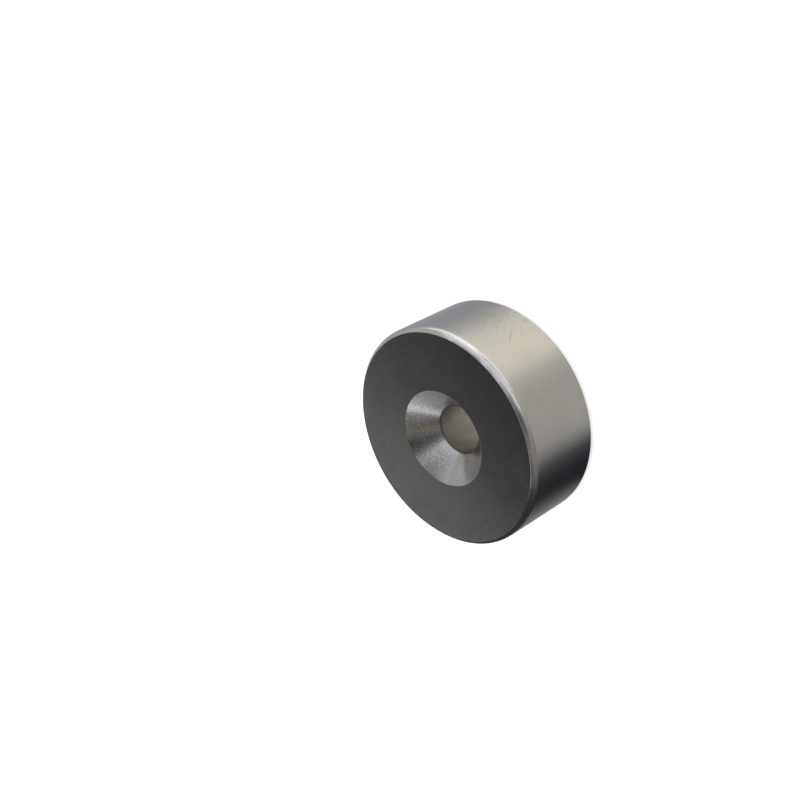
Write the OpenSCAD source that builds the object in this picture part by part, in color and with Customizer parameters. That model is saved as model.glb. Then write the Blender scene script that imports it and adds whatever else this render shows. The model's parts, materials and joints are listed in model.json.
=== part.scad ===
// Countersunk ring magnet: one solid disc with a straight screw hole
// and a conical seat for a countersunk screw head.
// The back face lies on z = 0, its centre is the origin,
// and +Z runs along the axis out of the countersunk face.

/* [Body] */
// Outside diameter
magnet_d = 50; // [40:0.5:80]
// Thickness between the two flat faces
magnet_t = 20; // [12:0.5:40]

/* [Rim edges] */
// Width of the 45 degree chamfer on both rims
rim_chamfer = 1.0; // [0.5:0.1:3]
// Radius that blends a chamfer into the side
side_blend_r = 1.2; // [0.2:0.1:2.5]
// Radius that blends a chamfer into a flat face
face_blend_r = 0.2; // [0.05:0.05:1]

/* [Screw hole] */
// Diameter of the straight hole, which clears the screw's shank
bore_d = 11; // [6:0.5:14]
// Diameter of the countersink where it opens in the face
sink_d = 22; // [18:0.5:30]
// Angle of the countersink from wall to wall
sink_angle = 90; // [60:1:120]
// Radius that blends the countersink into the face
mouth_blend_r = 0.15; // [0.05:0.05:0.6]
// Radius that blends the countersink into the straight hole
throat_blend_r = 0.25; // [0.1:0.05:2]
// Width of the 45 degree edge break where the hole leaves the back face
exit_break = 0.3; // [0.1:0.1:1]

/* [Hidden] */
// Colour of the satin nickel plate
nickel = [0.62, 0.6, 0.56];
magnet_r = magnet_d / 2;
bore_r = bore_d / 2;
sink_r = sink_d / 2;
// Depth of the cone below the face, down to the straight hole
sink_depth = (sink_r - bore_r) / tan(sink_angle / 2);

// Corners of the half section, as [radius, height, blend radius].
// They go round the solid from the hole's back edge, out along the back face,
// up the side, in along the front face and down the cone.
CORNERS = [
    [bore_r + exit_break, 0, 0],
    [magnet_r - rim_chamfer, 0, face_blend_r],
    [magnet_r, rim_chamfer, side_blend_r],
    [magnet_r, magnet_t - rim_chamfer, side_blend_r],
    [magnet_r - rim_chamfer, magnet_t, face_blend_r],
    [sink_r, magnet_t, mouth_blend_r],
    [bore_r, magnet_t - sink_depth, throat_blend_r],
    [bore_r, exit_break, 0]
];

// A corner's place in the section, without its blend radius.
// The list is a ring, so the first corner follows the last.
function place(i) =
    let (c = CORNERS[(i + len(CORNERS)) % len(CORNERS)])
    [c[0], c[1]];

// Direction from one point to another, one unit long
function heading(from, to) = (to - from) / norm(to - from);

// What a blend of radius r takes off the corner between two edges.
// It is drawn with the corner at the origin and the solid along +Y: a block
// that ends on the line between the two points where the arc touches the
// edges, less the arc's own circle. So the arc runs smoothly into each edge.
module corner_waste(before, at, after, r) {
    to_before = heading(at, before);
    to_after = heading(at, after);
    inward = to_before + to_after;
    half_angle = acos(to_before * to_after) / 2;
    centre_y = r / sin(half_angle);
    touch_y = centre_y * pow(cos(half_angle), 2);
    translate(at)
        rotate(atan2(inward[1], inward[0]) - 90)
            difference() {
                translate([-r, -r])
                    square([2 * r, r + touch_y]);
                translate([0, centre_y])
                    circle(r = r, $fn = 96);
            }
}

// Half section of the magnet, right of its axis
module half_section() {
    difference() {
        polygon([for (i = [0 : len(CORNERS) - 1]) place(i)]);
        for (i = [0 : len(CORNERS) - 1])
            if (CORNERS[i][2] > 0)
                corner_waste(place(i - 1), place(i), place(i + 1), CORNERS[i][2]);
    }
}

// The whole magnet, its half section turned about the axis
module magnet() {
    color(nickel)
        rotate_extrude($fn = 240)
            half_section();
}

magnet();
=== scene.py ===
# %% [markdown]
# # A countersunk ring magnet in satin nickel
#
# The object is one solid: a disc of sintered magnet, 50 mm across and 20 mm thick, with a
# straight hole for a screw and a 90 degree seat for the screw's head. It is ground and lapped
# to size, tumbled to take the sharpness off its edges, and plated with nickel.
# The shape is simple, so the likeness is in the finish. Each surface was worked by another
# tool, and that shows in how wide and in which direction it spreads the light.
#
# This lesson makes the shape with Geometry Nodes, gives each worked surface a finish of its
# own from one recipe, and then lights it as a photographer lights metal: with what it mirrors.

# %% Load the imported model
import json
from math import cos, pi, radians, sin, tan

import bpy
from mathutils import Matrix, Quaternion, Vector


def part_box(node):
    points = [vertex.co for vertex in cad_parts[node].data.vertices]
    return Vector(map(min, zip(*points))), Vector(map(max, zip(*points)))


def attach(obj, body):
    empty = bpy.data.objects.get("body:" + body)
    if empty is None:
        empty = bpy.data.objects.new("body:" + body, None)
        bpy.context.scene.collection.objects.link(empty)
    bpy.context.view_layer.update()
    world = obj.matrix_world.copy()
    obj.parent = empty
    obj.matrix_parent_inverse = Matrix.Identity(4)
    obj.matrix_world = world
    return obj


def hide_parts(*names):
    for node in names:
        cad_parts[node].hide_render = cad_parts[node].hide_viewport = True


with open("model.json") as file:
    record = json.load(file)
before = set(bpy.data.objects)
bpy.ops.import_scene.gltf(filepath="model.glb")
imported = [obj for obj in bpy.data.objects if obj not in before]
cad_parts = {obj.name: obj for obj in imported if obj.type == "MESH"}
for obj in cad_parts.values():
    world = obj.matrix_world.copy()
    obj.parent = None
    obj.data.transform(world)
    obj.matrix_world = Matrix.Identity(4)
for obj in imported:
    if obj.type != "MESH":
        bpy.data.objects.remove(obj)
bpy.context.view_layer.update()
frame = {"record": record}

# %% [markdown]
# ## Sizes come from the model
#
# Nothing here is measured by eye again. The box of the node gives the outside, and the
# record's mount for the screw gives the hole. The CAD file turned the magnet with flat facets,
# whose narrowest width is a hair under 50 mm, and the new shape stays inside that width.
# The widths of the edges are the ones the drawing has, and they are repeated by name.

# %% Sizes in metres
MM = 0.001
low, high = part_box("magnet")
outer_radius = (high.y - low.y) / 2
thickness = high.z
screw_bore = next(mount for mount in frame["record"]["mounts"] if mount["name"] == "screw_bore")
bore_radius = screw_bore["dims"]["r_mm"] * MM
seat_radius = 11 * MM
seat_depth = seat_radius - bore_radius
rim_chamfer = 1.0 * MM
exit_break = 0.3 * MM
print("radius", outer_radius, "thickness", thickness, "bore radius", bore_radius)

# %% [markdown]
# ## Writing nodes as sums
#
# A node tree that is built in a script soon fills with lines that only join sockets.
# A wire that knows the four operations reads better: `rough + 0.1 * smudge` adds the two Math
# nodes that it says. `Graph.add` makes any other node from its type, its settings and the
# values of its sockets. The same two classes serve geometry and materials.

# %% A wire that can be reckoned with
class Wire:
    """An output socket that Python's operators work on."""

    def __init__(self, graph, socket):
        self.graph = graph
        self.socket = socket

    def math(self, operation, *others, first=None):
        settings = {"operation": operation}
        values = [self, *others] if first is None else [first, self]
        return self.graph.add("ShaderNodeMath", settings, dict(enumerate(values)))

    def vector(self, operation, *others, out="Vector"):
        settings = {"operation": operation}
        values = dict(enumerate([self, *others]))
        return self.graph.add("ShaderNodeVectorMath", settings, values, out)

    def __add__(self, other):
        return self.math("ADD", other)

    def __sub__(self, other):
        return self.math("SUBTRACT", other)

    def __mul__(self, other):
        return self.math("MULTIPLY", other)

    def __truediv__(self, other):
        return self.math("DIVIDE", other)

    def __radd__(self, other):
        return self.math("ADD", other)

    def __rsub__(self, other):
        return self.math("SUBTRACT", first=other)

    def __rmul__(self, other):
        return self.math("MULTIPLY", other)

    def __rtruediv__(self, other):
        return self.math("DIVIDE", first=other)

    def between(self, start, end, low=0.0, high=1.0):
        """Runs smoothly from low to high as the value goes from start to end."""
        settings = {"interpolation_type": "SMOOTHSTEP"}
        values = {"Value": self, "From Min": start, "From Max": end, "To Min": low, "To Max": high}
        return self.graph.add("ShaderNodeMapRange", settings, values)


# %% A graph that makes nodes
class Graph:
    """A node tree whose nodes are made from a type, settings and values."""

    def __init__(self, tree):
        self.tree = tree

    def add(self, kind, settings=None, values=None, out=0):
        node = self.tree.nodes.new(kind)
        for name, value in (settings or {}).items():
            setattr(node, name, value)
        for name, value in (values or {}).items():
            self.feed(node.inputs[name], value)
        return Wire(self, node.outputs[out])

    def feed(self, socket, value):
        if isinstance(value, Wire):
            self.tree.links.new(value.socket, socket)
        else:
            socket.default_value = value

    def mix(self, factor, low, high):
        """A colour that goes from low to high with the factor."""
        settings = {"data_type": "RGBA"}
        return self.add("ShaderNodeMix", settings, {0: factor, 6: low, 7: high}, 2)

    def point(self, x, y, z):
        return self.add("ShaderNodeCombineXYZ", None, {"X": x, "Y": y, "Z": z})

    def choose(self, kind, index, choices):
        """Picks one of the choices by its number."""
        settings = {"data_type": kind}
        node = self.add("GeometryNodeIndexSwitch", settings, {"Index": index}).socket.node
        while len(node.index_switch_items) < len(choices):
            node.index_switch_items.new()
        for number, choice in enumerate(choices):
            self.feed(node.inputs[number + 1], choice)
        return Wire(self, node.outputs[0])


print("wires and graphs are ready")

# %% [markdown]
# ## One nickel, five tools
#
# The plating is one metal, a grey that leans to yellow, with painted shade and painted highlights
# added in places: the flat faces are painted darker than the side. What differs is the surface
# under it: the flat faces were lapped, the side was ground while the disc turned, the
# edges were tumbled among stones, the seat was cut by a turning tool and the hole was drilled.
# All five finishes are one recipe, with its own pattern of lines, roughness and colour.
# The patterns read Object coordinates in millimetres, so none of them needs a UV map. Marks
# that have a place of their own are given by the angle from the front, where the camera is.
#
# A line that goes round the axis is noise that is long in one direction. The angle itself
# would leave a seam where it jumps from 180 to -180 degrees, so its cosine and sine are used.

# %% Coordinates of the finishes
# direction of the front, in degrees round the axis from X
FRONT = -45


def places(graph):
    """The point in millimetres, its distance from the axis, and its direction from there."""
    found = graph.add("ShaderNodeTexCoord", out="Object")
    point = found.vector("SCALE")
    graph.feed(point.socket.node.inputs["Scale"], 1000)
    apart = graph.add("ShaderNodeSeparateXYZ", None, {0: point})
    x, y, z = [Wire(graph, socket) for socket in apart.socket.node.outputs]
    reach = (x * x + y * y).math("SQRT")
    return point, reach, x / reach, y / reach, z


def noise(graph, vector, scale=1.0, detail=2.0, roughness=0.5, distortion=0.0):
    """Smooth noise from 0 to 1 over the given vector."""
    values = {"Vector": vector, "Scale": scale, "Detail": detail}
    values |= {"Roughness": roughness, "Distortion": distortion}
    return graph.add("ShaderNodeTexNoise", {"noise_dimensions": "3D"}, values)


def rgb(red, green, blue):
    """A colour as the sockets take it."""
    return (red, green, blue, 1)


def specks(graph, point, spacing, size):
    """Small round dots: 1 in a dot, 0 elsewhere."""
    values = {"Vector": point, "Scale": 1 / spacing}
    cells = graph.add("ShaderNodeTexVoronoi", None, values, "Distance")
    few = noise(graph, point, 0.9 / spacing, 0).between(0.5, 0.62)
    return cells.between(size / spacing, 0.5 * size / spacing) * few


print("coordinates are ready")


# %% The recipe for nickel plate
def nickel_plate(name, pattern, anisotropy=0.0, turn=0.0):
    """A plated finish. The pattern gives its colour, its roughness and its height in mm."""
    material = bpy.data.materials.new(name)
    material.use_nodes = True
    graph = Graph(material.node_tree)
    shader = material.node_tree.nodes["Principled BSDF"]
    colour, roughness, height = pattern(graph)
    bump = graph.add("ShaderNodeBump", None, {"Strength": 1.0, "Distance": MM, "Height": height})
    graph.feed(shader.inputs["Base Color"], colour)
    graph.feed(shader.inputs["Roughness"], roughness)
    graph.feed(shader.inputs["Normal"], bump)
    shader.inputs["Metallic"].default_value = 1.0
    shader.inputs["Anisotropic"].default_value = anisotropy
    shader.inputs["Anisotropic Rotation"].default_value = turn
    print(name, "has", len(material.node_tree.nodes), "nodes")
    return material


# %% [markdown]
# ## The lapped faces
#
# Lapping rubs a face on a plate with grit, which leaves a fine even grain without direction
# and, under it, the faint straight lines of the grinding before. It looks darker than the side
# partly because it is the smoother mirror, and a level mirror shows the dark end of a room,
# and partly because its colour is painted darker than the side's, as painted shade.
# A few pits from the sintered magnet show through the plate as dark specks, and two larger
# ones lie beside the seat.

# %% Lapped faces
def on_the_face(angle, reach):
    """A place in mm on the upper face, at an angle in degrees from the middle of the front."""
    turn = radians(FRONT + angle)
    return Vector((cos(turn) * reach, sin(turn) * reach, thickness / MM))


FACE_SPECKS = [on_the_face(-156.5, 13.9), on_the_face(-105.6, 12.7)]


def lapped(graph):
    point, reach, _, _, _ = places(graph)
    strokes = {"Vector": point, "Rotation": (0, 0, radians(24)), "Scale": (0.05, 3.2, 1)}
    along = graph.add("ShaderNodeMapping", None, strokes)
    lines = noise(graph, along, 1.0, 3, 0.6)
    grain = noise(graph, point, 5.5, 2, 0.65)
    cloud = noise(graph, point, 0.14, 3, 0.55, 0.6)
    pits = specks(graph, point, 1.3, 0.11)
    for speck in FACE_SPECKS:
        apart = point.vector("DISTANCE", tuple(speck), out="Value")
        pits = pits.math("MAXIMUM", apart.between(0.26, 0.1, 0.0, 0.8))
    mottle = noise(graph, point, 0.8, 3, 0.65)
    shade = 0.35 * cloud + 0.2 * grain + 0.15 * lines + 0.3 * mottle
    # painted shade: the faces' colour is darker than the side's
    darkest, lightest = rgb(0.39, 0.385, 0.375), rgb(0.485, 0.48, 0.465)
    plain = graph.mix(shade.between(0.36, 0.64), darkest, lightest)
    near_seat = reach.between(21, 11.5, 0.0, 0.5)
    plain = graph.mix(near_seat, plain, rgb(0.5, 0.495, 0.48))
    colour = graph.mix(pits * 0.55, plain, rgb(0.12, 0.115, 0.11))
    roughness = 0.07 + 0.04 * cloud + 0.03 * grain + 0.12 * pits
    height = 0.0004 * grain + 0.0003 * lines - 0.006 * pits
    return colour, roughness, height


lapped_face = nickel_plate("lapped_face", lapped)

# %% [markdown]
# ## The ground side
#
# A centreless grinder turns the disc against a wheel, so its lines run round the side. Light
# spreads across such lines, up and down the side, and stays narrow round it: that is
# anisotropy. Blender measures it from the direction round Z, and a quarter turn sets the
# spread across the lines. Handling leaves faint scuffs on nickel and now and then a scratch.
# A scuff is a contour line of stretched noise, broken up by a second, coarser noise.

# %% Marks on the ground side
# degrees round the axis
SCRATCH_ANGLE = FRONT + 28.5
DASH_ANGLE = FRONT + 16
SCRATCH_HEIGHT = 8.95
SCUFF_TURN = radians(FRONT + 41)
SCUFF_PLACE = Vector((cos(SCUFF_TURN) * 25, sin(SCUFF_TURN) * 25, 4.5))


def on_the_side(x, y, z, angle, height, tilt):
    """Lengthwise and crosswise distance in mm from a place on the side, for a given tilt."""
    across = (x * -sin(radians(angle)) + y * cos(radians(angle))) * (outer_radius / MM)
    rise = z - height
    lengthwise = across * cos(radians(tilt)) + rise * sin(radians(tilt))
    crosswise = rise * cos(radians(tilt)) - across * sin(radians(tilt))
    return lengthwise, crosswise


def mark(x, y, z, angle, height, length, width, tilt):
    """A short stroke on the side, at an angle in degrees and a height in mm."""
    lengthwise, crosswise = on_the_side(x, y, z, angle, height, tilt)
    facing = (x * cos(radians(angle)) + y * sin(radians(angle))).between(0.7, 0.8)
    near_ends = lengthwise.math("ABSOLUTE").between(length / 2, length / 4)
    near_line = crosswise.math("ABSOLUTE").between(width, 0)
    return near_ends * near_line * facing


print("scuffs round", [round(part, 1) for part in SCUFF_PLACE])


# %% Ground side
def ground(graph):
    point, _, x, y, z = places(graph)
    long_lines = noise(graph, graph.point(x * 1.1, y * 1.1, z * 5.5), 1.0, 3, 0.6)
    short_lines = noise(graph, graph.point(x * 6, y * 6, z * 9), 1.0, 2, 0.6)
    cloud = noise(graph, point, 0.11, 3, 0.55, 0.8)
    handled = point.vector("DISTANCE", tuple(SCUFF_PLACE), out="Value").between(9.5, 3.0, 0.07, 1.0)
    lengthwise, crosswise = on_the_side(x, y, z, SCRATCH_ANGLE, SCRATCH_HEIGHT, 74)
    stretched = graph.point(lengthwise * 0.17, crosswise * 0.46, 5.0)
    wander = noise(graph, stretched, 1.0, 3, 0.62, 1.1)
    here_and_there = noise(graph, point, 0.6, 1, 0.5).between(0.4, 0.54)
    scuffs = (wander - 0.5).math("ABSOLUTE").between(0.045, 0.0) * here_and_there * handled
    scratch = mark(x, y, z, SCRATCH_ANGLE, SCRATCH_HEIGHT, 5.0, 0.16, -52)
    dash = mark(x, y, z, DASH_ANGLE, 17.4, 1.3, 0.12, 60)
    scratch = scratch.math("MAXIMUM", dash * 0.6)
    pits = specks(graph, point, 1.7, 0.09)
    shade = 0.4 * cloud + 0.35 * long_lines + 0.25 * short_lines
    darkest, lightest = rgb(0.598, 0.576, 0.535), rgb(0.656, 0.635, 0.596)
    plain = graph.mix(shade.between(0.3, 0.7), darkest, lightest)
    scuffed = graph.mix(scuffs * 0.55, plain, rgb(0.4, 0.37, 0.34))
    scratched = graph.mix(scratch * 0.7, scuffed, rgb(0.3, 0.28, 0.25))
    colour = graph.mix(pits * 0.5, scratched, rgb(0.2, 0.19, 0.17))
    roughness = 0.24 + 0.05 * cloud + 0.05 * short_lines + 0.03 * scuffs
    height = 0.0012 * long_lines + 0.0006 * short_lines - 0.004 * pits
    return colour, roughness, height


ground_side = nickel_plate("ground_side", ground, anisotropy=0.4, turn=0.25)

# %% [markdown]
# ## The tumbled edges
#
# Tumbling knocks each sharp edge into a small rounded chamfer. The stones leave it slightly
# uneven, so its highlight is a bright line that breaks into grains, and rounder towards the
# side than towards the face.

# %% Tumbled edges
def tumbled(graph):
    point, reach, _, _, z = places(graph)
    peening = noise(graph, point, 2.6, 3, 0.6)
    grain = noise(graph, point, 7.0, 2, 0.6)
    shade = 0.5 * peening + 0.5 * grain
    darkest, lightest = rgb(0.58, 0.57, 0.55), rgb(0.68, 0.672, 0.655)
    colour = graph.mix(shade.between(0.3, 0.7), darkest, lightest)
    roughness = 0.16 + 0.1 * grain
    half = thickness / MM / 2
    from_face = half - (z - half).math("ABSOLUTE")
    inwards = outer_radius / MM - reach - from_face
    rounding = inwards.between(0.0, -0.9, 0.0, 0.045) + inwards.between(0.35, 1.0, 0.0, 0.015)
    height = 0.012 * peening + 0.004 * grain - rounding
    return colour, roughness, height


tumbled_edge = nickel_plate("tumbled_edge", tumbled)

# %% [markdown]
# ## The turned seat
#
# The tool that cut the seat left fine rings, and the plate grew over them in small crystals
# that sparkle. The rings are noise over the distance from the axis, and the sparkle is a finer
# noise that tilts the surface from grain to grain, coarse on one side of the seat and fine
# elsewhere. The middle of the coarse side has painted shade at the lip and a painted highlight
# towards the hole.
# Two other sides are a little duller. A thin dark line of painted shade runs at the lip and
# at the throat.

# %% Turned seat
# colour of the thin lines of painted shade at the lip and the throat
PAINTED_EDGE_SHADE = rgb(0.16, 0.158, 0.15)


def towards(x, y, angle):
    """How far a place lies towards an angle in degrees round the axis, from -1 to 1."""
    return x * cos(radians(angle)) + y * sin(radians(angle))


def turned(graph):
    point, reach, x, y, z = places(graph)
    rings = noise(graph, graph.point(x * 1.6, y * 1.6, reach * 4.5), 1.0, 3, 0.6)
    crystals = noise(graph, point, 4.2, 1, 0.5)
    cloud = noise(graph, point, 0.35, 2, 0.5, 0.5)
    coarse_side = towards(x, y, 110).between(0.38, 0.62, 0.25, 1.05)
    sparkle = (crystals - 0.5) * coarse_side
    shade = 0.75 * sparkle + 0.1 * rings + 0.2 * cloud
    darkest, lightest = rgb(0.43, 0.421, 0.418), rgb(0.7, 0.688, 0.685)
    colour = graph.mix(shade.between(0.01, 0.29), darkest, lightest)
    # painted shade at the lip and a painted highlight towards the hole, on the middle of the coarse
    # side
    painted_gradient_side = towards(x, y, 150).between(0.72, 0.95)
    darker = painted_gradient_side * reach.between(8.2, 10.6, 0.0, 0.4)
    lighter = painted_gradient_side * reach.between(8.2, 5.8, 0.0, 0.45)
    colour = graph.mix(darker, colour, rgb(0.25, 0.245, 0.243))
    colour = graph.mix(lighter, colour, rgb(0.93, 0.915, 0.91))
    # thin dark lines of painted shade at the lip and at the throat
    colour = graph.mix(reach.between(10.85, 10.98, 0.0, 0.6), colour, PAINTED_EDGE_SHADE)
    colour = graph.mix(reach.between(5.75, 5.62, 0.0, 0.7), colour, PAINTED_EDGE_SHADE)
    dull_right = towards(x, y, 10).between(0.45, 0.8, 0.0, 0.16)
    dull_left = towards(x, y, 252).between(0.7, 0.93, 0.0, 0.12)
    roughness = 0.14 + 0.06 * crystals + 0.04 * cloud + dull_right + dull_left
    height = 0.001 * rings + 0.022 * sparkle
    return colour, roughness, height


turned_seat = nickel_plate("turned_seat", turned)

# %% [markdown]
# ## The drilled hole
#
# Little plating current reaches the hole, so its nickel is thin, duller and more yellow. Just
# under the throat runs a thin dark line of painted shade, and below it a thin bright line of painted
# highlight.

# %% Drilled hole
def drilled(graph):
    point, _, x, y, z = places(graph)
    rings = noise(graph, graph.point(x * 1.3, y * 1.3, z * 3.2), 1.0, 3, 0.6)
    cloud = noise(graph, point, 0.3, 2, 0.5, 0.4)
    shade = 0.5 * rings + 0.5 * cloud
    darkest, lightest = rgb(0.5, 0.483, 0.447), rgb(0.66, 0.642, 0.6)
    colour = graph.mix(shade.between(0.3, 0.7), darkest, lightest)
    # a thin bright line of painted highlight, and above it, just under the throat, a thin dark line of
    # painted shade
    colour = graph.mix(z.between(14.05, 14.2, 0.0, 0.5), colour, rgb(0.8, 0.79, 0.76))
    colour = graph.mix(z.between(14.22, 14.32, 0.0, 0.85), colour, rgb(0.12, 0.115, 0.105))
    roughness = 0.34 + 0.08 * rings
    height = 0.003 * rings
    return colour, roughness, height


drilled_hole = nickel_plate("drilled_hole", drilled)

# %% [markdown]
# ## A section that turns round the axis
#
# A lathe part is one closed outline carried round an axis. Screw and Spin do that too, but
# with a Curve to Mesh node the corners stay numbers with names: the outline starts as a ring of
# eight points, each is sent to its corner, and Fillet Curve rounds each corner by its own
# radius. Curve to Mesh sweeps the outline round a circle. It lays the outline's x outwards from
# that circle and its y downwards, which is why the heights are negative.

# %% Inputs of the magnet's node tree
tree = bpy.data.node_groups.new("turned_magnet", "GeometryNodeTree")
tree.is_modifier = True
tree.interface.new_socket("Geometry", in_out="OUTPUT", socket_type="NodeSocketGeometry")
SIZES = {
    "Outer Radius": outer_radius,
    "Thickness": thickness,
    "Bore Radius": bore_radius,
    "Seat Radius": seat_radius,
    "Seat Depth": seat_depth,
    "Rim Chamfer": rim_chamfer,
    "Exit Break": exit_break,
    "Side Blend": 1.2 * MM,
    "Face Blend": 0.2 * MM,
    "Mouth Blend": 0.15 * MM,
    "Throat Blend": 0.25 * MM,
    "Ring Spacing": 1.1 * MM,
    "Nick Depth": 0.05 * MM,
}
for name in SIZES:
    tree.interface.new_socket(name, in_out="INPUT", socket_type="NodeSocketFloat")
for name in ("Steps Round", "Nick Seed"):
    tree.interface.new_socket(name, in_out="INPUT", socket_type="NodeSocketInt")
make = Graph(tree)
group_input = tree.nodes.new("NodeGroupInput")


def given(name):
    return Wire(make, group_input.outputs[name])


print("inputs:", [socket.name for socket in group_input.outputs if socket.name])

# %% The outline's corners
OUT, TALL = given("Outer Radius"), given("Thickness")
BORE, SEAT = given("Bore Radius"), given("Seat Radius")
CHAMFER, BREAK = given("Rim Chamfer"), given("Exit Break")
corners = [
    (BORE + BREAK, 0.0, 0.0),
    (BORE, BREAK, 0.0),
    (BORE, TALL - given("Seat Depth"), given("Throat Blend")),
    (SEAT, TALL, given("Mouth Blend")),
    (OUT - CHAMFER, TALL, given("Face Blend")),
    (OUT, TALL - CHAMFER, given("Side Blend")),
    (OUT, CHAMFER, given("Side Blend")),
    (OUT - CHAMFER, 0.0, given("Face Blend")),
]
points = [make.point(radius - OUT, 0.0 - height, 0.0) for radius, height, _ in corners]
blends = [blend for _, _, blend in corners]
number = make.add("GeometryNodeInputIndex")
loop = make.add("GeometryNodeMeshCircle", {"fill_type": "NONE"}, {"Vertices": len(corners)})
outline = make.add("GeometryNodeMeshToCurve", None, {"Mesh": loop})
outline = make.add(
    "GeometryNodeSetPosition",
    None,
    {"Geometry": outline, "Position": make.choose("VECTOR", number, points)},
)
print("the outline has", len(points), "corners")

# %% [markdown]
# The rounded outline gets a point about every millimetre, because the small dents that come
# next need something to move. Each straight stretch is cut by its own length.

# %% Round the corners, cut the straights and sweep
outline = make.add(
    "GeometryNodeFilletCurve",
    {"mode": "POLY"},
    {"Curve": outline, "Count": 9, "Radius": make.choose("FLOAT", number, blends)},
)
place = make.add("GeometryNodeInputPosition")
index = make.add("GeometryNodeInputIndex")
next_point = make.add(
    "GeometryNodeOffsetPointInCurve", None, {"Point Index": index, "Offset": 1}, "Point Index"
)
next_place = make.add(
    "GeometryNodeFieldAtIndex",
    {"data_type": "FLOAT_VECTOR"},
    {"Index": next_point, "Value": place},
)
stretch = place.vector("DISTANCE", next_place, out="Value")
cuts = stretch / given("Ring Spacing")
values = {"Curve": outline, "Cuts": cuts.math("FLOOR")}
outline = make.add("GeometryNodeSubdivideCurve", None, values)
circle = make.add(
    "GeometryNodeCurvePrimitiveCircle",
    {"mode": "RADIUS"},
    {"Resolution": given("Steps Round"), "Radius": OUT},
)
body = make.add("GeometryNodeCurveToMesh", None, {"Curve": circle, "Profile Curve": outline})
print("the outline is swept round")

# %% [markdown]
# ## Edges with small dents
#
# No edge of a tumbled part is a perfect circle. Near each edge the surface is pushed in by up
# to a twentieth of a millimetre, by noise that changes along the edge. It only ever goes
# inwards, so the magnet keeps its outside size, and it stays off the two flat faces, where it
# would show as ripples. The distance to an edge is taken in the section, from the point's
# radius and height to the edge's own.

# %% Small dents along the edges
apart = make.add("ShaderNodeSeparateXYZ", None, {0: make.add("GeometryNodeInputPosition")}).socket.node
px, py, pz = [Wire(make, socket) for socket in apart.outputs]
reach = (px * px + py * py).math("SQRT")
edges = [
    (OUT - CHAMFER, TALL, 0.5),
    (OUT, TALL - CHAMFER, 0.5),
    (OUT - CHAMFER, 0.0, 0.5),
    (OUT, CHAMFER, 0.5),
    (BORE + BREAK, 0.0, 0.6),
]
nearness = 0.0
for radius, height, share in edges:
    outwards, upwards = reach - radius, pz - height
    gap = (outwards * outwards + upwards * upwards).math("SQRT")
    nearness = gap.between(0.45 * MM, 0.05 * MM, 0.0, share) + nearness
dents = make.add(
    "ShaderNodeTexNoise",
    {"noise_dimensions": "4D"},
    {"W": given("Nick Seed"), "Scale": 620.0, "Detail": 2.0, "Roughness": 0.6},
)
below_face = (pz - TALL).math("ABSOLUTE").between(0.0, 0.1 * MM)
above_back = pz.between(0.0, 0.1 * MM)
depth = nearness * dents.between(0.42, 0.72) * given("Nick Depth") * below_face * above_back
inward = make.add("GeometryNodeInputNormal").vector("SCALE")
make.feed(inward.socket.node.inputs["Scale"], depth * -1)
body = make.add("GeometryNodeSetPosition", None, {"Geometry": body, "Offset": inward})
print("edges with dents:", len(edges))

# %% [markdown]
# ## Give each surface its finish
#
# A face of the mesh knows where it is and where it looks, which is enough to tell the worked
# surfaces apart: the lapped faces look straight up or down, the side lies on the outer radius,
# and what lies between the hole's radius and the seat's is the seat, with its rounded lip.
# What is left are edges.

# %% Which finish goes where
def is_more(value, limit):
    settings = {"data_type": "FLOAT", "operation": "GREATER_THAN"}
    return make.add("FunctionNodeCompare", settings, {"A": value, "B": limit})


def both(one, other):
    return make.add("FunctionNodeBooleanMath", {"operation": "AND"}, {0: one, 1: other})


facing = make.add("ShaderNodeSeparateXYZ", None, {0: make.add("GeometryNodeInputNormal")}).socket.node
upward = Wire(make, facing.outputs["Z"])
level = upward.math("ABSOLUTE")
on_face = both(is_more(level, 0.93), is_more(reach, BORE + BREAK))
on_side = both(is_more(reach, OUT - 0.1 * MM), is_more(0.3, level))
in_hole = both(is_more(BORE + 0.35 * MM, reach), is_more(0.75, level))
on_seat = both(is_more(SEAT + 0.08 * MM, reach), is_more(upward, 0.36))
on_seat = both(on_seat, is_more(0.985, level))
finishes = [(True, tumbled_edge), (on_face, lapped_face), (on_side, ground_side)]
finishes += [(in_hole, drilled_hole), (on_seat, turned_seat)]
rounded = make.add("FunctionNodeBooleanMath", {"operation": "NOT"}, {0: on_face})
body = make.add("GeometryNodeSetShadeSmooth", None, {"Geometry": body, "Shade Smooth": rounded})
body = make.add("GeometryNodeRealizeInstances", None, {"Geometry": body})
for where, finish in finishes:
    body = make.add(
        "GeometryNodeSetMaterial", None, {"Geometry": body, "Selection": where, "Material": finish}
    )
group_output = tree.nodes.new("NodeGroupOutput")
make.feed(group_output.inputs["Geometry"], body)
print("finishes:", [finish.name for _, finish in finishes])

# %% [markdown]
# ## From nodes to a plain mesh
#
# The modifier's inputs are set by the identifiers of their sockets before anything is
# evaluated. The evaluated result is then copied into a plain mesh, and the modifier goes.

# %% Make the magnet's mesh
def set_input(modifier, name, value):
    items = modifier.node_group.interface.items_tree
    socket = next(item for item in items if item.name == name and item.in_out == "INPUT")
    modifier[socket.identifier] = value


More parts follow.
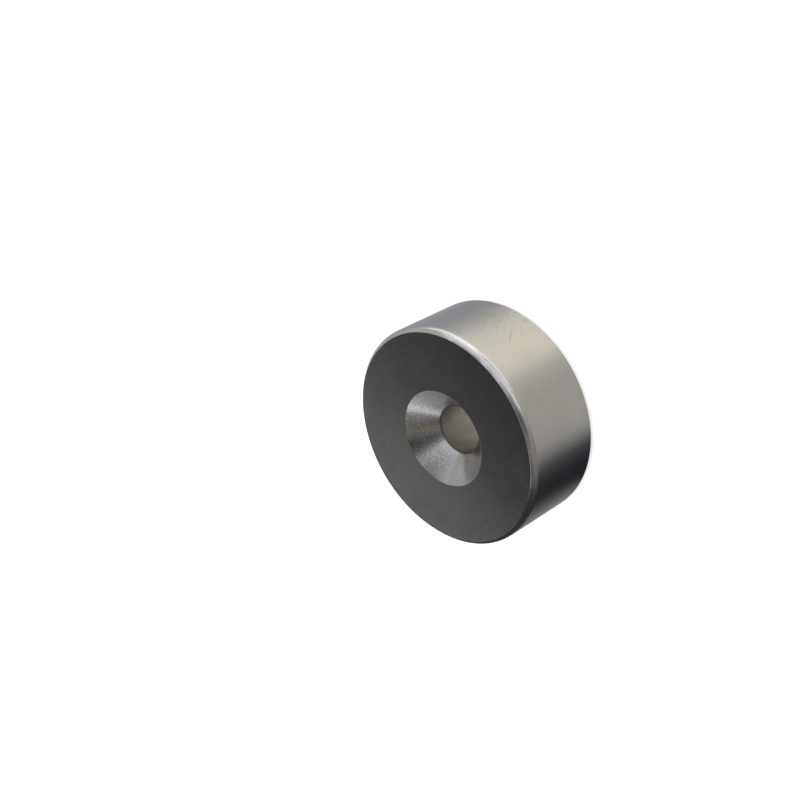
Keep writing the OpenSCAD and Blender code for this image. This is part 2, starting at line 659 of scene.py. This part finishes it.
magnet = bpy.data.objects.new("magnet_body", bpy.data.meshes.new("start"))
bpy.context.scene.collection.objects.link(magnet)
modifier = magnet.modifiers.new("turned_magnet", "NODES")
modifier.node_group = tree
for name, size in SIZES.items():
    set_input(modifier, name, float(size))
set_input(modifier, "Steps Round", 384)
set_input(modifier, "Nick Seed", 7)
seen = magnet.evaluated_get(bpy.context.evaluated_depsgraph_get())
mesh = bpy.data.meshes.new_from_object(seen)
magnet.modifiers.clear()
magnet.data = mesh
mesh.name = "magnet_body"
print("magnet:", len(mesh.vertices), "vertices,", len(mesh.polygons), "faces")
counts = {}
for polygon in mesh.polygons:
    finish = mesh.materials[polygon.material_index].name
    counts[finish] = counts.get(finish, 0) + 1
print("faces by finish:", counts)

# %% Join it to the model
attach(magnet, "root")
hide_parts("magnet")
print("the piece stands for the CAD node magnet")

# %% [markdown]
# ## The camera
#
# The magnet lies on its back face with the seat upwards, as it would on a table. The camera
# looks down at it from 40 degrees above the table, close enough for perspective to show, and is
# rolled on its side so that the disc leans in the picture as it does in the photograph.
# The place is given from the middle of the upper face: so far towards the camera, so far up.

# %% Camera
MAIN_AZIMUTH = radians(45)
TOWARD = Vector((sin(MAIN_AZIMUTH), -cos(MAIN_AZIMUTH), 0))
BESIDE = Vector((cos(MAIN_AZIMUTH), sin(MAIN_AZIMUTH), 0))
UP = Vector((0, 0, 1))
eye = TOWARD * 219.45 * MM + UP * (thickness + 183.75 * MM)
aim = TOWARD * -6.14 * MM + BESIDE * 11.85 * MM + UP * thickness
camera = bpy.data.objects.new("camera", bpy.data.cameras.new("camera"))
bpy.context.scene.collection.objects.link(camera)
camera.data.lens = 60.4
camera.data.clip_start = 0.01
camera.data.clip_end = 5.0
camera.rotation_mode = "QUATERNION"
camera.location = eye
level_turn = (aim - eye).to_track_quat("-Z", "Y")
camera.rotation_quaternion = level_turn @ Quaternion((0, 0, 1), radians(-117.0))
bpy.context.scene.camera = camera
print("the camera is", round((aim - eye).length * 1000), "mm from the magnet")

# %% [markdown]
# ## A white sweep
#
# The floor runs into a low wall without a corner, as studio paper does. It has to look white
# to the camera and in the metal, and still take the magnet's soft shadow. So it is a pale
# diffuse surface that the lamps light to grey, with a glow added that only the camera and
# mirror rays see: together they reach white, and a shadow takes away only the diffuse part.

# %% Helpers for the studio
def stage_object(name, vertices, faces, material):
    """A piece of the studio, which is no part of the magnet."""
    shape = bpy.data.meshes.new(name)
    shape.from_pydata([tuple(vertex) for vertex in vertices], [], faces)
    shape.materials.append(material)
    made = bpy.data.objects.new(name, shape)
    bpy.context.scene.collection.objects.link(made)
    return made


def plain_material(name):
    """An empty material and its graph."""
    material = bpy.data.materials.new(name)
    material.use_nodes = True
    material.node_tree.nodes.clear()
    return material, Graph(material.node_tree)


def finish_with(graph, surface):
    output = graph.tree.nodes.new("ShaderNodeOutputMaterial")
    graph.feed(output.inputs["Surface"], surface)


print("studio helpers are ready")

# %% White paper
FLOOR_GLOW = 0.62
paper, graph = plain_material("white_paper")
rays = graph.add("ShaderNodeLightPath").socket.node
on_show = Wire(graph, rays.outputs["Is Camera Ray"])
for kind in ("Is Glossy Ray", "Is Transmission Ray"):
    on_show = on_show.math("MAXIMUM", Wire(graph, rays.outputs[kind]))
diffuse = graph.add("ShaderNodeBsdfDiffuse", None, {"Color": rgb(0.8, 0.8, 0.8)})
values = {"Color": rgb(1, 1, 1), "Strength": on_show * FLOOR_GLOW}
glow = graph.add("ShaderNodeEmission", None, values)
finish_with(graph, graph.add("ShaderNodeAddShader", None, {0: diffuse, 1: glow}))
print("the paper glows with", FLOOR_GLOW)

# %% Floor and wall
SWEEP = [(0.0, 0.0), (0.2, 0.0), (0.6, 0.0), (1.0, 0.0)]
for slope in range(15, 91, 15):
    SWEEP.append((1.0 + 0.2 * sin(radians(slope)), 0.2 - 0.2 * cos(radians(slope))))
SWEEP += [(1.2, 0.42)]
STEPS = 96
vertices = [Vector((0, 0, 0))]
for radius, height in SWEEP[1:]:
    for step in range(STEPS):
        turn = 2 * pi * step / STEPS
        vertices.append(Vector((radius * cos(turn), radius * sin(turn), height)))
faces = [(0, 1 + step, 1 + (step + 1) % STEPS) for step in range(STEPS)]
for ring in range(len(SWEEP) - 2):
    start = 1 + ring * STEPS
    for step in range(STEPS):
        other = (step + 1) % STEPS
        faces.append((start + step, start + STEPS + step, start + STEPS + other, start + other))
sweep = stage_object("white_sweep", vertices, faces, paper)
for polygon in sweep.data.polygons:
    polygon.use_smooth = True
print("the sweep has", len(faces), "faces")

# %% [markdown]
# ## Papers that the side mirrors
#
# Metal has hardly any colour of its own: it shows what lies around it. The upright side, seen
# from above, mirrors the table next to it, so photographers lay grey papers there and stand
# others behind them. Here one ring of papers goes all round, flat beside the magnet and upright
# at its far end, and its tone and height change with the angle.
# A tone that should show as a straight band on the side has to follow the mirrored ray. At an
# angle `a` round the side that ray leaves the rim at `a` and runs off in the direction `2 a`,
# so the ring's spokes do the same. The ring starts under the lower chamfer, where its inner
# edge is darkened as painted shadow of the magnet. Only mirror rays see the papers: to the
# camera, to light and to shadows they aren't there.

# %% Cards that only mirror rays see
def heading(angle):
    """Level direction at an angle from the camera, positive to its right."""
    turn = radians(angle)
    return TOWARD * cos(turn) + BESIDE * sin(turn)


def mirror_only(made):
    made.visible_camera = False
    made.visible_diffuse = False
    made.visible_shadow = False
    made.visible_transmission = False
    made.visible_volume_scatter = False


def glowing_card(name, vertices, faces, tones):
    """A card of given tones that only mirror rays see."""
    material, graph = plain_material(name)
    tone = graph.add("ShaderNodeAttribute", {"attribute_name": "tone"}, out="Color")
    finish_with(graph, graph.add("ShaderNodeEmission", None, {"Color": tone, "Strength": 1.0}))
    made = stage_object(name, vertices, faces, material)
    colours = made.data.attributes.new("tone", "FLOAT_COLOR", "POINT")
    colours.data.foreach_set("color", [part for tone in tones for part in tone])
    mirror_only(made)
    return made


print("cards can be made")

# %% Grey papers round the side
# share of a paper's warmth that its upright part has
UPRIGHT_WARMTH = 0.25
# angle round the side, tones of the flat and the upright part, warmth, height in mm
PAPERS = [
    (-90, 0.35, 0.05, 0.0, 21),
    (-80, 0.4, 0.05, 0.0, 24),
    (-74, 0.26, 0.05, 0.0, 27),
    (-65, 0.12, 0.04, -0.05, 33),
    (-60, 0.04, 0.035, -0.1, 38),
    (-56, 0.013, 0.03, -0.4, 42),
    (-46, 0.017, 0.04, -0.4, 42),
    (-38, 0.06, 0.15, -0.1, 30),
    (-28, 0.41, 0.25, 0.0, 28),
    (-20, 0.46, 0.27, 0.02, 27),
    (-2, 0.47, 0.5, 0.02, 24),
    (6, 0.58, 0.7, 0.03, 12),
    (14, 0.86, 0.8, 0.1, 2),
    (24, 0.92, 0.9, 0.12, 1),
    (36, 0.82, 0.9, 0.05, 1),
    (48, 0.5, 0.6, -0.02, 8),
    (56, 0.36, 0.45, -0.12, 18),
    (68, 0.36, 0.45, -0.14, 22),
    (80, 0.46, 0.5, -0.04, 22),
    (90, 0.25, 0.4, 0.0, 21),
    (110, 0.14, 0.14, 0.0, 20),
    (140, 0.4, 0.3, 0.0, 20),
    (180, 0.62, 0.36, 0.03, 19),
    (220, 0.42, 0.3, 0.0, 20),
    (250, 0.2, 0.1, 0.0, 20),
    (270, 0.35, 0.05, 0.0, 21),
]


def between_stops(stops, angle):
    """The tones, warmth and height at an angle, between the two nearest stops."""
    for (start, *first), (end, *second) in zip(stops, stops[1:]):
        if start <= angle <= end:
            share = (angle - start) / (end - start)
            return [a + (b - a) * share for a, b in zip(first, second)]


def paper_ring(name, stops, step=3, reach=24):
    """Papers all round the magnet, flat beside it and upright at their far end."""
    vertices, tones, faces = [], [], []
    angles = range(stops[0][0], stops[-1][0] + 1, step)
    for angle in angles:
        flat, upright, warmth, rise = between_stops(stops, angle)
        foot = heading(angle) * outer_radius
        away = heading(max(-180, min(180, 2 * angle)))
        profile = [(0.3, 0.2), (reach, 0.3), (reach + 3, 0.4 * rise), (reach + 4, rise)]
        vertices.append(heading(angle) * (outer_radius - 1.3 * MM) + UP * 0.02 * MM)
        vertices += [foot + away * far * MM + UP * high * MM for far, high in profile]
        # the inner edge of each paper is darkened: painted shadow of the magnet
        tinted_tones = [(flat * 0.15, warmth), (flat, warmth), (flat, warmth)]
        tinted_tones += [(upright, warmth * UPRIGHT_WARMTH)] * 2
        for tone, tint in tinted_tones:
            tones.append((tone * (1 + tint / 3), tone, tone * (1 - tint), 1))
    across = len(profile) + 1
    for turn in range(len(angles) - 1):
        for row in range(across - 1):
            here = turn * across + row
            faces.append((here, here + 1, here + across + 1, here + across))
    return glowing_card(name, vertices, faces, tones)


papers = paper_ring("grey_papers", PAPERS)
print("papers:", len(papers.data.polygons), "faces")

# %% [markdown]
# Two more cards finish the surroundings. The hole stands on a disc of painted shade, which
# stands in for the little light the floor gets in there. A grey band stands before the far
# wall, so that the seat doesn't mirror a white wall, and it is darker behind the magnet than at its
# sides.

# %% Disc under the hole, band before the wall
ROUND = [radians(angle) for angle in range(0, 360, 15)]
BAND_RADIUS, BAND_HEIGHT = 1.1, 0.42
# a disc of painted shade under the hole
disc_radius = bore_radius - 0.1 * MM
disc = [Vector((cos(a), sin(a), 0)) * disc_radius + UP * 0.1 * MM for a in ROUND]
disc_tones = [(0.36, 0.35, 0.33, 1)] * len(ROUND)
under_hole = glowing_card("painted_shade_under_hole", disc, [tuple(range(len(ROUND)))], disc_tones)
band_feet = [Vector((cos(a), sin(a), 0)) * BAND_RADIUS for a in ROUND]
band = band_feet + [foot + UP * BAND_HEIGHT for foot in band_feet]
band_faces = []
for first in range(len(ROUND)):
    second = (first + 1) % len(ROUND)
    band_faces.append((first, second, len(ROUND) + second, len(ROUND) + first))
band_tones = [0.25 if heading(180).dot(foot) > 0.9 else 0.55 for foot in band_feet] * 2
band_tones = [(tone, tone, tone, 1) for tone in band_tones]
far_band = glowing_card("far_grey_card", band, band_faces, band_tones)
print("cards:", under_hole.name, far_band.name)

# %% [markdown]
# ## Light
#
# A wide round lamp overhead lights the paper evenly and gives the magnet its soft contact
# shadow. It is hidden from mirror rays, so it puts no hot disc into the metal.
# What the metal shows is a long cool softbox to the right, which draws the bright line on the
# chamfer, a small warm one low on the same side, and the dark room above the wall.

# %% Lamps
def area_lamp(name, shape, size, power, place, aim, tint=(1, 1, 1)):
    lamp = bpy.data.objects.new(name, bpy.data.lights.new(name, "AREA"))
    lamp.data.shape = shape
    lamp.data.size, lamp.data.size_y = size
    lamp.data.energy = power
    lamp.data.color = tint
    lamp.location = place
    lamp.rotation_mode = "QUATERNION"
    lamp.rotation_quaternion = (aim - place).to_track_quat("-Z", "Y")
    bpy.context.scene.collection.objects.link(lamp)
    lamp.visible_camera = False
    return lamp


overhead = area_lamp("overhead_lamp", "DISK", (0.9, 0.9), 4.0, UP * 0.9, Vector((0, 0, 0)))
overhead.visible_glossy = False
tall_foot = heading(115) * 0.29 + UP * 0.28
tall_place = heading(25) * 0.4 + tall_foot
cool, warm = (0.96, 0.98, 1.1), (1, 0.97, 0.9)
tall_box = area_lamp("tall_softbox", "RECTANGLE", (1.15, 0.32), 0.64, tall_place, tall_foot, cool)
tall_box.rotation_quaternion @= Quaternion((0, 0, 1), radians(4))
low_foot = UP * 0.06
low_place = heading(61) * 0.35 + low_foot
low_box = area_lamp("low_softbox", "RECTANGLE", (0.17, 0.12), 0.05, low_place, low_foot, warm)
print("lamps:", overhead.name, tall_box.name, low_box.name)

# %% [markdown]
# The room is drawn in the world: a patch of light is a direction and the distance from it.
# The level faces mirror the far side of the room at about 40 degrees up. The room darkens
# upwards just there, along a slightly tilted line, so each face runs from grey to dark.
# The seat mirrors all sides at once, partly by way of its own other side, and most patches are
# for it: a window with cool light, a lit piece of ceiling above it, a few lighter and darker
# pieces of wall, a brown corner and a warm side. Two patches are for the chamfer and its inner
# edge.

# %% The room
world = bpy.data.worlds.new("studio")
bpy.context.scene.world = world
world.use_nodes = True
world.node_tree.nodes.clear()
graph = Graph(world.node_tree)
view_line = graph.add("ShaderNodeTexCoord", out="Generated").vector("NORMALIZE")


def room_light(azimuth, elevation, inner, outer, strength):
    """A soft patch of light round a direction, with its inner and outer radius in degrees."""
    level = heading(azimuth) * cos(radians(elevation)) + UP * sin(radians(elevation))
    nearness = view_line.vector("DOT_PRODUCT", tuple(level), out="Value")
    return nearness.between(cos(radians(outer)), cos(radians(inner)), 0.0, strength)


# azimuth and elevation, inner and outer radius, all in degrees, and the light it adds
ROOM_PATCHES = [
    (-45, 42, 15, 60, -0.165),
    (-80, 37, 5, 18, -0.15),
    (-52, 45, 6, 15, 0.1),
    (-92, 52, 7, 19, 0.62),
    (-105, 42, 4, 14, 0.12),
    (99, 44, 8, 20, 0.2),
    # for the chamfer and its inner edge
    (24, 58, 4, 16, 0.4),
    (-128, 48, 8, 22, -0.16),
]
up = view_line.vector("DOT_PRODUCT", (0, 0, 1), out="Value")
tilted = view_line.vector("DOT_PRODUCT", tuple(BESIDE * 0.23 + UP), out="Value")
behind = room_light(180, 45, 25, 55, 1.0)
room = up.between(0.47, 0.77, 0.45, 0.24) + up.between(0.82, 0.97, 0.0, 0.45)
room = room - behind * (0.11 + tilted.between(0.614, 0.648, 0.0, 0.105))
for patch in ROOM_PATCHES:
    room = room + room_light(*patch)
window = room_light(-112, 21, 4, 14, 1.0)
brown_corner = room_light(-58, 42, 6, 23, 1.0)
warm_side = room_light(110, 30, 10, 24, 1.0)
room = room + window * 0.8
room = room.math("MAXIMUM", 0.02)
shade = graph.mix(window, rgb(0.98, 0.99, 1), rgb(0.93, 0.97, 1.07))
shade = graph.mix(brown_corner, shade, rgb(1, 0.92, 0.8))
shade = graph.mix(warm_side, shade, rgb(1, 1, 0.94))
shell = graph.add("ShaderNodeBackground", None, {"Color": shade, "Strength": room})
world_output = world.node_tree.nodes.new("ShaderNodeOutputWorld")
graph.feed(world_output.inputs["Surface"], shell)
print("the room is lit")

# %% [markdown]
# ## Close
#
# The view transform is set to Standard and the scene is updated. The visual model has
# to keep to the CAD model's box.

# %% Set the view transform and close
bpy.context.scene.view_settings.view_transform = "Standard"
bpy.context.view_layer.update()
